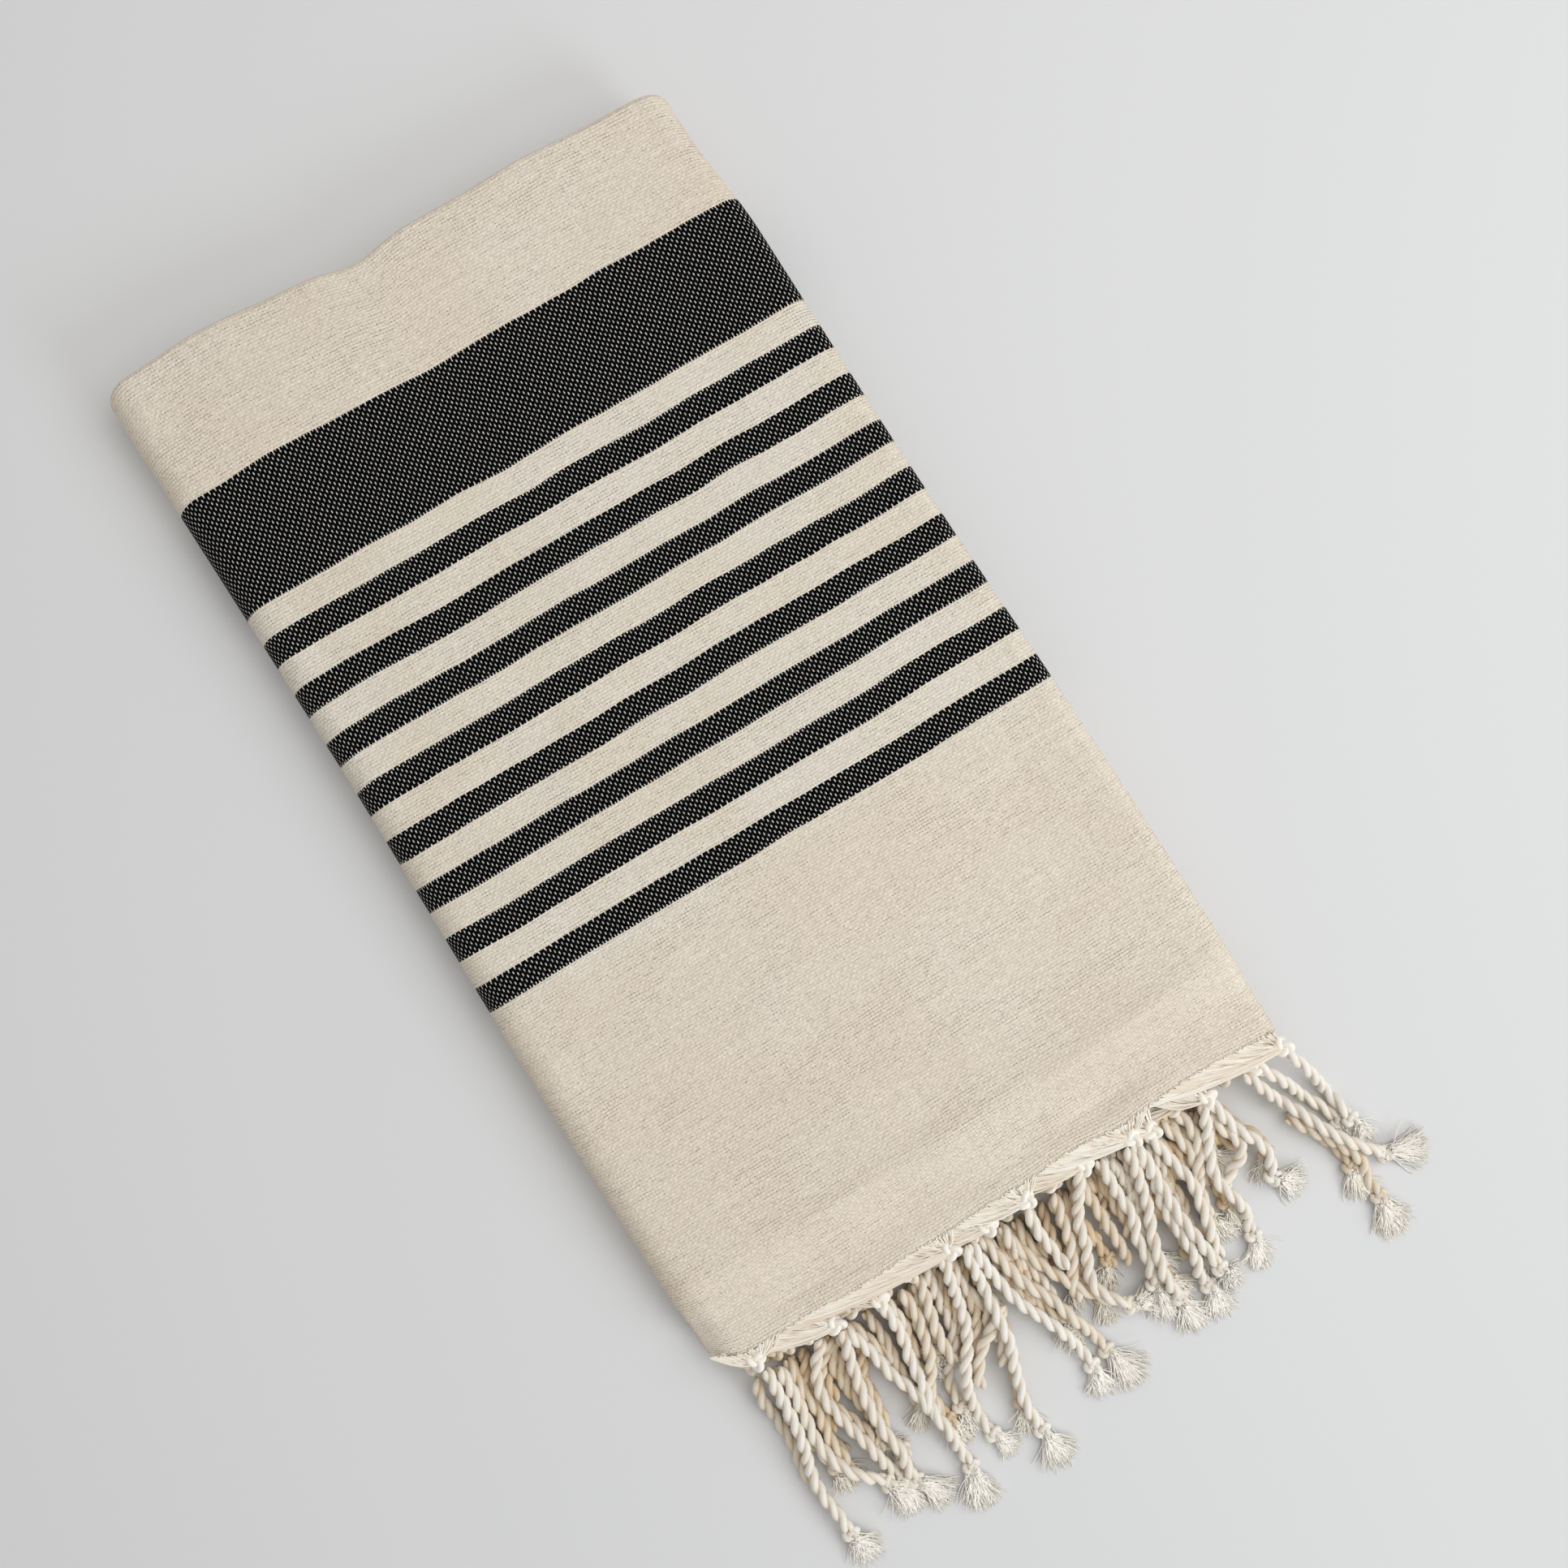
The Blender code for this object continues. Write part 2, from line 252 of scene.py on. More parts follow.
def width_path():
    """Across the towel, as (x, z, nx, nz): bottom packet, left side, top packet, right side,
    the packet below it, the inside of the left fold and the packet above the bottom one."""
    half = FOLDED_WIDTH / 2.0
    left_radius = PACKET + 1.5 * PACKET_GAP
    inner_radius = PACKET + 0.5 * PACKET_GAP
    right_radius = 0.5 * PACKET_GAP
    left_x = -half + left_radius + PACKET
    right_x = half - right_radius - PACKET
    low_z = 2.0 * PACKET + 1.5 * PACKET_GAP
    high_z = 3.0 * PACKET + 2.5 * PACKET_GAP
    coarse = np.linspace(left_x, right_x, 20)
    fine = np.linspace(left_x, right_x, TOP_STATIONS)

    def flat(places, z, up):
        return [(x, z, 0.0, up) for x in places]

    def turn(x, z, radius, start, end, steps, out):
        return [
            (px, pz, out * (px - x) / radius, out * (pz - z) / radius)
            for px, pz in arc((x, z), radius, start, end, steps)
        ]

    free = np.linspace(half - LOWEST_EDGE_SETBACK, right_x, 3)[:-1]
    inner_free = np.linspace(right_x, half - INNER_EDGE_SETBACK, 3)[1:]
    path = flat([*free, *coarse[::-1]], PACKET, -1.0)
    path += turn(left_x, low_z, left_radius, 270, 90, 20, 1.0)
    path += flat(fine, 3.0 * (PACKET + PACKET_GAP), 1.0)
    path += turn(right_x, high_z, right_radius, 90, -90, 12, 1.0)
    path += flat(coarse[::-1], 3.0 * PACKET + 2.0 * PACKET_GAP, -1.0)
    path += turn(left_x, low_z, inner_radius, 90, 270, 12, -1.0)
    path += flat([*coarse, *inner_free], PACKET + PACKET_GAP, 1.0)
    return np.array(path)


def folded_sheet():
    """The whole towel as one thin closed skin, and the length and width of the sheet it is
    folded from. Its UV map measures the flat sheet in metres: U across it, and V along it
    from the fringed end that lies on top."""
    outer, inner = sheet_side(1), sheet_side(-1)
    path = width_path()
    outline = np.concatenate([outer, inner[::-1]])
    count, stations = len(outline), len(path)
    x = path[:, None, 0] + outline[None, :, 1] * path[:, None, 2]
    z = path[:, None, 1] + outline[None, :, 1] * path[:, None, 3]
    y = np.broadcast_to(outline[None, :, 0], x.shape)
    steps = np.hypot(np.diff(x, axis=0), np.diff(z, axis=0))
    across = np.vstack([np.zeros(count), np.cumsum(steps, axis=0)])
    top = int(np.argmax(np.isclose(path[:, 1], 3.0 * (PACKET + PACKET_GAP)))) + TOP_STATIONS // 2
    across = across - across[top] + x[top]
    middle = (outer + inner) / 2.0
    run = np.concatenate([[0.0], np.cumsum(np.hypot(*np.diff(middle, axis=0).T))])
    along = np.concatenate([run, run[::-1]])
    along = np.broadcast_to(along[None, :], x.shape)
    placed = np.stack(lie(x, y, z), axis=-1).reshape(-1, 3)
    flat_place = np.stack([across + 0.5, along], axis=-1).reshape(-1, 2)
    k, i = np.meshgrid(np.arange(stations - 1), np.arange(count), indexing="ij")
    j = (i + 1) % count
    quads = np.stack(
        [k * count + i, k * count + j, (k + 1) * count + j, (k + 1) * count + i], axis=-1
    ).reshape(-1, 4)
    caps = []
    for ring in (0, stations - 1):
        e = np.arange(count // 2 - 1)
        cap = np.stack([e, e + 1, count - 2 - e, count - 1 - e], axis=-1) + ring * count
        caps.append(cap if ring else cap[:, ::-1])
    faces = np.concatenate([quads[:, ::-1], *[cap[:, ::-1] for cap in caps]])
    return placed, faces, flat_place[faces.ravel()], float(run[-1]), float(np.ptp(across[:, 0]))


# ---------------------------------------------------------------- tubes and paths


def tangents(paths):
    t = np.gradient(paths, axis=-2)
    return t / np.maximum(np.linalg.norm(t, axis=-1, keepdims=True), 1e-12)


def frames(paths):
    """Two directions across each path at each of its points, with no sudden turns."""
    t = tangents(paths)
    whole = paths[..., -1, :] - paths[..., 0, :]
    guide = np.where(
        (np.abs(whole[..., 2]) > 0.8 * np.linalg.norm(whole, axis=-1))[..., None],
        np.array([1.0, 0.0, 0.0]),
        np.array([0.0, 0.0, 1.0]),
    )[..., None, :]
    side = np.cross(t, guide)
    side = side / np.maximum(np.linalg.norm(side, axis=-1, keepdims=True), 1e-9)
    return side, np.cross(side, t)


class Heap:
    """Collects tubes until they become one mesh."""

    def __init__(self):
        self.points, self.faces, self.uvs, self.tones, self.count = [], [], [], [], 0

    def tubes(self, paths, radii, sides, across=None, up=None, tone=0.0, crevice_shade=0.0):
        """Adds round tubes. paths is (tubes, points, 3) and radii is (tubes, points). A tube takes
        its tone, and the side that faces against its across direction is painted browner too,
        as painted shade where two plies press together."""
        tubes, length = paths.shape[:2]
        angles = np.linspace(0, 2 * math.pi, sides, endpoint=False)
        # painted shade: the side of a tube that faces the other ply is painted browner
        crevice_darkening = crevice_shade * np.clip(0.35 - np.cos(angles), 0, 1)
        shades = np.reshape(tone, (-1, 1, 1)) + crevice_darkening[None, None, :]
        self.tones.append(np.broadcast_to(shades, (tubes, length, sides)).ravel())
        if across is None:
            across, up = frames(paths)
        ring = (
            across[:, :, None, :] * np.cos(angles)[None, None, :, None]
            + up[:, :, None, :] * np.sin(angles)[None, None, :, None]
        )
        skin = paths[:, :, None, :] + ring * radii[:, :, None, None]
        self.points.append(skin.reshape(-1, 3))
        t, p, s = np.meshgrid(
            np.arange(tubes), np.arange(length - 1), np.arange(sides), indexing="ij"
        )
        after = (s + 1) % sides
        base = t * length * sides
        quads = np.stack(
            [
                base + p * sides + s,
                base + p * sides + after,
                base + (p + 1) * sides + after,
                base + (p + 1) * sides + s,
            ],
            axis=-1,
        ).reshape(-1, 4)
        self.faces.append(quads + self.count)
        steps = np.linalg.norm(np.diff(paths, axis=1), axis=-1)
        run = np.concatenate([np.zeros((tubes, 1)), np.cumsum(steps, axis=1)], axis=1)
        low, high = run[t, p], run[t, p + 1]
        u0, u1 = s / sides, (s + 1) / sides
        uv = np.stack([u0, low, u1, low, u1, high, u0, high], axis=-1)
        self.uvs.append(uv.reshape(-1, 2))
        self.count += tubes * length * sides

    def mesh(self, name, finish):
        made = make_mesh(
            name,
            np.concatenate(self.points),
            np.concatenate(self.faces),
            np.concatenate(self.uvs),
            finish,
        )
        tone = made.data.attributes.new("tone", "FLOAT", "POINT")
        tone.data.foreach_set("value", np.concatenate(self.tones))
        return made


def smooth_route(points, step):
    """An even, smooth line through given points."""
    points = np.asarray(points, float)
    padded = np.vstack([2 * points[0] - points[1], points, 2 * points[-1] - points[-2]])
    fine = []
    for a, b, c, d in zip(padded, padded[1:], padded[2:], padded[3:]):
        for u in np.linspace(0, 1, 24, endpoint=False):
            fine.append(
                0.5
                * (
                    2 * b
                    + (c - a) * u
                    + (2 * a - 5 * b + 4 * c - d) * u**2
                    + (3 * b - a - 3 * c + d) * u**3
                )
            )
    fine = np.array([*fine, points[-1]])
    run = np.concatenate([[0], np.cumsum(np.linalg.norm(np.diff(fine, axis=0), axis=1))])
    even = np.linspace(0, run[-1], max(int(run[-1] / step), 6) + 1)
    return np.stack([np.interp(even, run, fine[:, axis]) for axis in range(fine.shape[1])], axis=1)


# ---------------------------------------------------------------- fringe: where it lies

CORD_RADIUS = 2.65 * MM
PLY_RADIUS = 1.62 * MM
PLY_OFFSET = 1.12 * MM
TWIST_LENGTH = 14.2 * MM
# painted shade: how much browner a ply is painted on the side where it meets the other ply
PLY_CREVICE_SHADE = 0.55
TIP_KNOT, HEADER_KNOT = 2.9 * MM, 3.3 * MM
HAIR_RADIUS, HAIR_FAN = 0.33 * MM, 0.31
SEEN_HAIRS, HIDDEN_HAIRS = 330, 130
CORD_STEP = 0.9 * MM
HEADER_TOP, ROW_DROP, FALL_RATE = 21.0, 2.4, 0.75  # rough heights of a cord along its route
EYE_X, EYE_Y = 16.8, 183.8  # the point under the camera, in millimetres from the fringed edge
EYE_HEIGHT = 640.0  # camera above the top of the stack
STACK_TOP = 26.0

# The rows of ends from the top down: packet from the bottom, level in it
ROWS = ((3, 4), (3, 3), (2, 3), (2, 4), (1, 4), (1, 3), (0, 3), (0, 4))

# Visible cords: row from the top, tuft heading in degrees from straight out, tuft length in
# millimetres (0 for a cord whose end lies hidden), and the route from the header outwards
CORDS = (
    (0, 5, 12, (
        (-112, -6), (-112, -20), (-112, -30), (-114, -38), (-117, -46), (-118, -57),
        (-117, -66), (-117, -75),
    )),
    (3, 0, 0, (
        (-117, -7), (-119, -14), (-118, -25), (-118, -36), (-120, -46), (-119, -60),
        (-118, -68),
    )),
    (1, 12, 14, ((-107, -8), (-107, -25), (-108, -38), (-105, -50), (-99, -59), (-94, -66))),
    (4, 0, 0, ((-103, -7), (-103, -18), (-102, -28), (-104, -40), (-103, -50), (-105, -58))),
    (2, -6, 12, (
        (-87, -8), (-94, -14), (-97, -22), (-96, -32), (-94, -42), (-92, -50),
        (-91, -60), (-90, -68),
    )),
    (1, 30, 13, (
        (-78, -9), (-81, -18), (-83, -28), (-84, -38), (-84, -48), (-83, -58),
        (-85, -66), (-85, -72),
    )),
    (1, 0, 0, ((-77, -9), (-73, -20), (-70, -30), (-67, -38), (-65, -46), (-65, -54))),
    (1, -10, 15, (
        (-60, -8), (-59, -20), (-61, -30), (-62, -40), (-64, -50), (-63, -60),
        (-64, -70), (-64, -79),
    )),
    (3, 0, 0, ((-51, -8), (-50, -18), (-52, -26), (-54, -33), (-58, -40), (-62, -45))),
    (2, 0, 0, ((-42, -7), (-44, -15), (-46, -24), (-47, -32), (-47, -40))),
    (0, 20, 9, (
        (-30, -6), (-33, -18), (-35, -28), (-39, -36), (-44, -42), (-48, -50),
        (-50, -58), (-51, -66), (-50, -73),
    )),
    (2, 0, 0, ((-19, -32), (-28, -37), (-36, -42), (-42, -49), (-44, -55))),
    (0, 4, 14, (
        (-21, -7), (-22, -18), (-23, -28), (-24, -36), (-25, -44), (-28, -52),
        (-31, -62), (-33, -70), (-33, -82),
    )),
    (0, -6, 10, ((-18, -7), (-17, -20), (-14, -32), (-10, -42), (-6, -52), (-4, -62), (-3, -71))),
    (2, 14, 16, ((-14, -7), (-11, -18), (-8, -28), (-3, -38), (0, -48), (3, -58), (5, -69))),
    (3, 0, 0, ((-5, -7), (-3, -16), (2, -28), (7, -38), (12, -46), (17, -53))),
    (0, 0, 0, ((8, -7), (7, -16), (8, -24), (9, -32))),
    (3, 0, 0, ((20, -8), (16, -22), (12, -32), (8, -38), (6, -46))),
    (1, 58, 15, (
        (34, -5), (28, -12), (22, -20), (20, -28), (16, -36), (14, -43), (17, -50),
        (22, -56),
    )),
    (4, 0, 0, ((31, -8), (31, -20), (31, -30), (31, -40), (30, -46))),
    (1, 0, 14, ((42, -6), (41, -18), (41, -28), (38, -36), (37, -46), (34, -56))),
    (0, 2, 12, ((54, -8), (51, -20), (48, -29), (44, -37), (41, -46), (39, -56), (40, -67))),
    (0, 0, 11, ((57, -8), (56, -22), (53, -33), (53, -44), (53, -54), (51, -62), (52, -69))),
    (0, 14, 10, ((58, -10), (57, -24), (56, -36), (57, -46), (58, -55), (59, -63))),
    (1, -10, 0, ((63, -7), (65, -18), (67, -28), (66, -36), (64, -46), (62, -56), (62, -62))),
    (3, 0, 0, ((70, -7), (73, -18), (72, -26), (68, -36), (66, -46))),
    (1, -12, 10, ((88, -10), (82, -20), (77, -28), (76, -36), (78, -44), (79, -52), (77, -62))),
    (2, 0, 0, ((77, -7), (79, -14), (76, -22), (70, -30))),
    (1, 35, 12, ((91, -10), (93, -22), (97, -30), (98, -37), (95, -45))),
    (2, 0, 0, ((86, -14), (91, -26), (89, -32), (82, -36), (76, -40))),
    (1, 62, 15, ((108, -8), (112, -20), (117, -30), (121, -39), (126, -48), (132, -56), (137, -62))),
    (1, 12, 10, ((113, -8), (119, -18), (122, -26), (126, -34), (129, -42))),
    (0, 8, 10, ((126, -8), (129, -18), (131, -28), (132, -36), (133, -43))),
    (5, -4, 11, ((114, -30), (119, -42), (123, -52), (124, -60))),
    (4, 0, 14, ((112, -30), (118, -40), (124, -50), (128, -60), (127, -68), (127, -76))),
)

HIDDEN_ROWS = (2, 4, 5, 6, 7)  # rows whose cords lie under the visible ones
HIDDEN_COPIES = 4
OUTSIDE_LEFT, OUTSIDE_RIGHT = -108, 105  # no cords lie under those past these places
HEADER_REACH = -12  # a route that starts nearer the edge than this leaves a header
ROW_SHADE_TONES = (0.12, 0.16, 0.32, 0.42, 0.55, 0.68, 0.80, 0.85)  # from white to tan: lower rows are painted tanner, as painted shade under the rows above

# Gathered knots of the rows of ends, and how far in front of the edge they lie, in millimetres
KNOTS = {
    0: ((-111, -4), (-25, -6), (10, -5.5), (57, -5.5), (125, -6)),
    1: ((-78, -8), (-58.5, -8.5), (-8, -7), (36, -7), (65, -8), (90, -10), (113, -9)),
    2: ((-92, -7), (-44, -7), (-15, -7), (22, -7), (78, -7), (108, -7)),
    3: ((-115, -7), (-70, -7), (-35, -7), (0, -7), (47, -7), (100, -7)),
    4: ((-100, -7), (-55, -7), (-10, -7), (30, -7), (70, -7), (115, -7)),
    5: ((-105, -7), (-65, -7), (-20, -7), (20, -7), (60, -7), (100, -7)),
    6: ((-98, -7), (-50, -7), (-5, -7), (38, -7), (84, -7), (112, -7)),
    7: ((-110, -7), (-75, -7), (-28, -7), (12, -7), (52, -7), (95, -7)),
}


def end_height(row):
    packet, level = ROWS[row]
    bottom = packet * (PACKET + PACKET_GAP)
    n = level_middle(level)
    return bottom + n if packet % 2 == 1 else bottom + PACKET - n


def true_place(x, y, z):
    """A place read at the height of the stack's top, moved out to where it lies lower down."""
    grow = 1.0 + (STACK_TOP - z) / EYE_HEIGHT
    return EYE_X + (x - EYE_X) * grow, EYE_Y + (y - EYE_Y) * grow


class Pile:
    """The height that laid cords already reach, over the floor in front of the towel."""

    cell = 0.6 * MM
    west, south = -0.165, -0.125
    wide, deep = 0.345, 0.135

    def __init__(self):
        self.top = np.zeros((int(self.wide / self.cell), int(self.deep / self.cell)))
        reach = int(CORD_RADIUS / self.cell)
        i, j = np.meshgrid(*[np.arange(-reach, reach + 1)] * 2, indexing="ij")
        near = (i**2 + j**2) * self.cell**2 < (0.92 * CORD_RADIUS) ** 2
        self.di, self.dj = i[near], j[near]
        self.round = np.sqrt((0.92 * CORD_RADIUS) ** 2 - (self.di**2 + self.dj**2) * self.cell**2)

    def cells(self, places):
        i = ((places[:, 0] - self.west) / self.cell).astype(int)[:, None] + self.di
        j = ((places[:, 1] - self.south) / self.cell).astype(int)[:, None] + self.dj
        return np.clip(i, 0, self.top.shape[0] - 1), np.clip(j, 0, self.top.shape[1] - 1)

    def lay(self, route, start_z, tallest):
        """Lets a cord down on what lies there. It leaves its start level and bends softly,
        and presses into soft cords below where these would lift it over the tallest height."""
        i, j = self.cells(route)
        rest = np.maximum((self.top[i, j] + self.round[None, :]).max(axis=1), CORD_RADIUS)
        rest = np.minimum(rest, tallest)
        run = np.arange(len(route)) * CORD_STEP
        if start_z is not None:
            start_z = max(start_z, CORD_RADIUS)
            drop = start_z - np.maximum(run - 0.002, 0) ** 2 / (2 * 0.013)
            rest = np.maximum(rest, np.maximum(drop, 0))
            rest[0] = start_z
        apart = run[:, None] - run[None, :]
        height = (rest[None, :] - apart**2 / (2 * 0.010)).max(axis=1)
        for _ in range(3):
            height[1:-1] = (height[:-2] + 2 * height[1:-1] + height[2:]) / 4
        if start_z is not None:
            blend = ease(1 - run / 0.006)
            height = height * (1 - blend) + start_z * blend
        np.maximum.at(self.top, (i, j), height[:, None] + self.round[None, :])
        return np.column_stack([route, height])


def cord_line(pile, row, route, tallest):
    """A cord's centre line. The first points leave the header of its row."""
    start_z = None
    level_z = end_height(row)
    points = []
    fall = 0.0
    for number, (x, y) in enumerate(route):
        if number:
            fall += math.hypot(x - route[number - 1][0], y - route[number - 1][1])
        first_z = HEADER_TOP - ROW_DROP * row
        z = max(first_z - FALL_RATE * fall, 3.0) if route[0][1] > HEADER_REACH else 5.0
        points.append(true_place(x, y, z))
    if route[0][1] > HEADER_REACH:
        _, _, start_z = lie(route[0][0] * MM, 0.0, level_z)
        start_z = float(start_z) - 1.0 * MM
    even = smooth_route(np.array(points) * MM, CORD_STEP)
    return pile.lay(even, start_z, tallest)


def plies(heap, line, turn, tone, sides):
    """Two plies wound round each other along the line. Where they meet they are painted browner, as
    painted shade in the crevice.
    """
    side, up = frames(line[None])
    run = np.concatenate([[0], np.cumsum(np.linalg.norm(np.diff(line, axis=0), axis=1))])
    pitch = TWIST_LENGTH * (1 + 0.06 * math.sin(turn * 3))
    for half in (0, math.pi):
        phase = turn + half - 2 * math.pi * run / pitch
        away = side * np.cos(phase)[None, :, None] + up * np.sin(phase)[None, :, None]
        swing = 1 + 0.05 * np.sin(run * 260 + turn * 5 + half)
        path = line[None] + away * PLY_OFFSET
        direction = tangents(path)
        across = away - (away * direction).sum(-1, keepdims=True) * direction
        across = across / np.linalg.norm(across, axis=-1, keepdims=True)
        closing = np.sqrt(np.clip(np.minimum(run, run[-1] - run) / (2.4 * MM), 0.02, 1.0))
        radius = (PLY_RADIUS * swing * closing)[None, :]
        heap.tubes(path, radius, sides, across, np.cross(direction, across), tone, PLY_CREVICE_SHADE)


def end_knot(heap, place, heading, size, tone):
    """The overhand knot that stops a cord, drawn tight."""
    a = np.linspace(0, 2 * math.pi, 37)
    wide = np.stack(
        [np.sin(a) + 2 * np.sin(2 * a), np.cos(a) - 2 * np.cos(2 * a), -1.2 * np.sin(3 * a)],
        axis=-1,
    )
    wide = wide * size * 0.36
    wide[:, 1] *= 0.85
    c = math.cos(heading)
    s = math.sin(heading)
    x = wide[:, 0] * c - wide[:, 1] * s
    y = wide[:, 0] * s + wide[:, 1] * c
    turned = np.stack([x, y, wide[:, 2] * 0.8], -1) + place
    thickness = size * 0.42
    turned[:, 2] = np.maximum(turned[:, 2], thickness)
    heap.tubes(turned[None], np.full((1, len(a)), thickness), 8, tone=tone)


def tuft(heap, place, heading, length, hairs, tone):
    """Loose yarn ends that fan out past a knot and come to rest on the floor."""
    share = np.linspace(0, 1, 6)[None, :, None]
    turn = heading + rng.normal(0, HAIR_FAN, hairs)
    reach = length * rng.uniform(0.72, 1.08, hairs)
    out = np.stack([np.sin(turn), -np.cos(turn), np.zeros(hairs)], -1)[:, None, :]
    sideways = np.stack([np.cos(turn), np.sin(turn), np.zeros(hairs)], -1)[:, None, :]
    first = rng.normal(0, 1.0 * MM, (hairs, 1, 3))
    wave = np.sin(share * rng.uniform(2, 6, (hairs, 1, 1)) + rng.uniform(0, 6, (hairs, 1, 1)))
    lay = rng.uniform(0.3 * MM, 3.2 * MM, (hairs, 1))
    path = place + first + out * share * reach[:, None, None]
    path = path + sideways * wave * np.sqrt(share) * rng.uniform(0.2, 1.3, (hairs, 1, 1)) * MM
    start = np.maximum(path[:, :1, 2], 0.6 * MM)
    path[:, :, 2] = start + (lay - start) * ease(share[:, :, 0] * 1.5)
    path[:, :, 2] = np.maximum(path[:, :, 2], 0.28 * MM)
    radius = HAIR_RADIUS * (1 - 0.35 * share[:, :, 0]) * np.ones((hairs, 1))
    heap.tubes(path, radius, 3, tone=tone * rng.uniform(0.3, 1.0, hairs))


def gathered_ends(heap, row, pitch, radius, tone):
    """The loose warp ends of one row, drawn sideways along the edge into the row's knots."""
    knots = KNOTS[row]
    level_z = end_height(row)
    half = FOLDED_WIDTH / 2.0
    starts = np.arange(-half + 0.002, half - 0.002, pitch)
    starts = starts + rng.uniform(-0.8, 0.8, len(starts)) * pitch
    knot_x = np.array([x for x, _ in knots]) * MM
    knot_y = np.array([y for _, y in knots]) * MM
    gaps = np.concatenate([np.diff(knot_x), [0.03]])
    limits = knot_x + 0.17 * gaps
    limits[-1] = half
    which = np.searchsorted(limits, starts)
    which = np.clip(which, 0, len(knots) - 1)
    to_x, to_y = knot_x[which], knot_y[which]
    away = starts - to_x
    longest = np.array([np.abs(away[which == k]).max() if (which == k).any() else 1 for k in which])
    rank = np.abs(away) / np.maximum(longest, 1e-4)
    number = len(starts)
    depth = rng.uniform(-1, 1, number)
    inside = rng.uniform(0.1, 1.0, number) ** 2 * 1.3 * MM
    top = half_thickness(inside) + 0.05 * MM
    sx, sy, sz = lie(starts, inside, level_z + top * (1 if ROWS[row][0] % 2 else -1))
    kx, ky, kz = lie(to_x, np.zeros(number), np.full(number, level_z))
    ky = ky + to_y
    kz = kz - 0.8 * MM
    angle = rng.uniform(0, 2 * math.pi, number)
    thick = 1.5 * MM * np.sqrt(rng.uniform(0, 1, number))
    ex = kx + thick * 0.5 * np.cos(angle)
    ey = ky + (0.5 - rank) * 2.6 * MM + 0.5 * thick * np.sin(angle)
    ez = kz + depth * 1.5 * MM
    lead = 0.5 * MM + 2.2 * MM * rank * rng.uniform(0.5, 1.3, number)
    p0 = np.stack([sx, sy, sz], -1)
    p1 = np.stack([sx - 0.10 * away, sy - inside - lead, sz + 0.25 * MM], -1)
    p2 = np.stack([ex + 0.42 * away, ey + 0.3 * MM * (0.5 - rank), ez + 0.2 * MM], -1)
    p3 = np.stack([ex, ey, ez], -1)
    u = np.linspace(0, 1, 13)[None, :, None]
    p0, p1, p2, p3 = (p[:, None, :] for p in (p0, p1, p2, p3))
    path = (1 - u) ** 3 * p0 + 3 * (1 - u) ** 2 * u * p1 + 3 * (1 - u) * u**2 * p2 + u**3 * p3
    wave = np.sin(u[..., 0] * rng.uniform(3, 9, (number, 1)) + rng.uniform(0, 6, (number, 1)))
    path[:, :, 1] += 0.45 * MM * wave * np.sin(u[..., 0] * math.pi)
    path[:, :, 2] = np.maximum(path[:, :, 2], radius)
    heap.tubes(path, np.full(path.shape[:2], radius), 5, tone=tone + rng.uniform(-0.1, 0.45, number))
    spots = sorted({tuple(spot) for spot in np.round(np.stack([kx, ky, kz], -1), 6).tolist()})
    for x, y, z in spots:
        end_knot(heap, np.array([x, y - 0.8 * MM, z]), x * 40, HEADER_KNOT, tone)


# ---------------------------------------------------------------- finishes


class Net:
    """Short words for wiring shader nodes."""

    def __init__(self, tree):
        self.tree = tree

    def add(self, kind, **settings):
        node = self.tree.nodes.new(kind)
        for key, value in settings.items():
            setattr(node, key, value)
        return node

    def put(self, socket, value):
        if isinstance(value, bpy.types.NodeSocket):
            self.tree.links.new(value, socket)
        elif isinstance(value, (tuple, list)) and len(value) == 3 and socket.type == "RGBA":
            socket.default_value = (*value, 1.0)
        else:
            socket.default_value = value

    def math(self, operation, *values, clamp=False):
        node = self.add("ShaderNodeMath", operation=operation, use_clamp=clamp)
        for socket, value in zip(node.inputs, values):
            self.put(socket, value)
        return node.outputs[0]

    def step(self, value, low, high, start=0.0, end=1.0):
        node = self.add("ShaderNodeMapRange", interpolation_type="SMOOTHSTEP")
        for socket, given in zip(node.inputs, (value, low, high, start, end)):
            self.put(socket, given)
        return node.outputs[0]

    def mix(self, share, first, second, blend="MIX"):
        node = self.add("ShaderNodeMix", data_type="RGBA", blend_type=blend)
        self.put(node.inputs[0], share)
        self.put(node.inputs[6], first)
        self.put(node.inputs[7], second)
        return node.outputs[2]

    def noise(self, x, y, scale_x, scale_y, detail=2.0, roughness=0.5, offset=0.0):
        join = self.add("ShaderNodeCombineXYZ")
        self.put(join.inputs[0], self.math("MULTIPLY", x, scale_x))
        self.put(join.inputs[1], self.math("MULTIPLY", y, scale_y))
        join.inputs[2].default_value = offset
        node = self.add("ShaderNodeTexNoise")
        node.inputs["Scale"].default_value = 1.0
        node.inputs["Detail"].default_value = detail
        node.inputs["Roughness"].default_value = roughness
        self.put(node.inputs["Vector"], join.outputs[0])
        return node.outputs[0]


def new_group(name, inputs, outputs):
    tree = bpy.data.node_groups.new(name, "ShaderNodeTree")
    for label in inputs:
        tree.interface.new_socket(label, in_out="INPUT", socket_type="NodeSocketFloat")
    for label, kind in outputs:
        tree.interface.new_socket(label, in_out="OUTPUT", socket_type=kind)
    net = Net(tree)
    return net, net.add("NodeGroupInput").outputs, net.add("NodeGroupOutput").inputs


FLOAT, COLOUR = "NodeSocketFloat", "NodeSocketColor"
UNTINTED = (1.0, 1.0, 1.0)
DOT_ACROSS, DOT_ALONG = 0.00270, 0.00258
DOT_HALF_WIDTH, DOT_HALF_LENGTH = 0.00027, 0.00068
WARP_PITCH, WEFT_PITCH = 0.00135, 0.00129
STRIPE_START, STRIPE_PITCH, STRIPE_WIDTH, STRIPES = 0.1665, 0.0224, 0.0107, 8
BAND_START, BAND_END = 0.3456, 0.3944


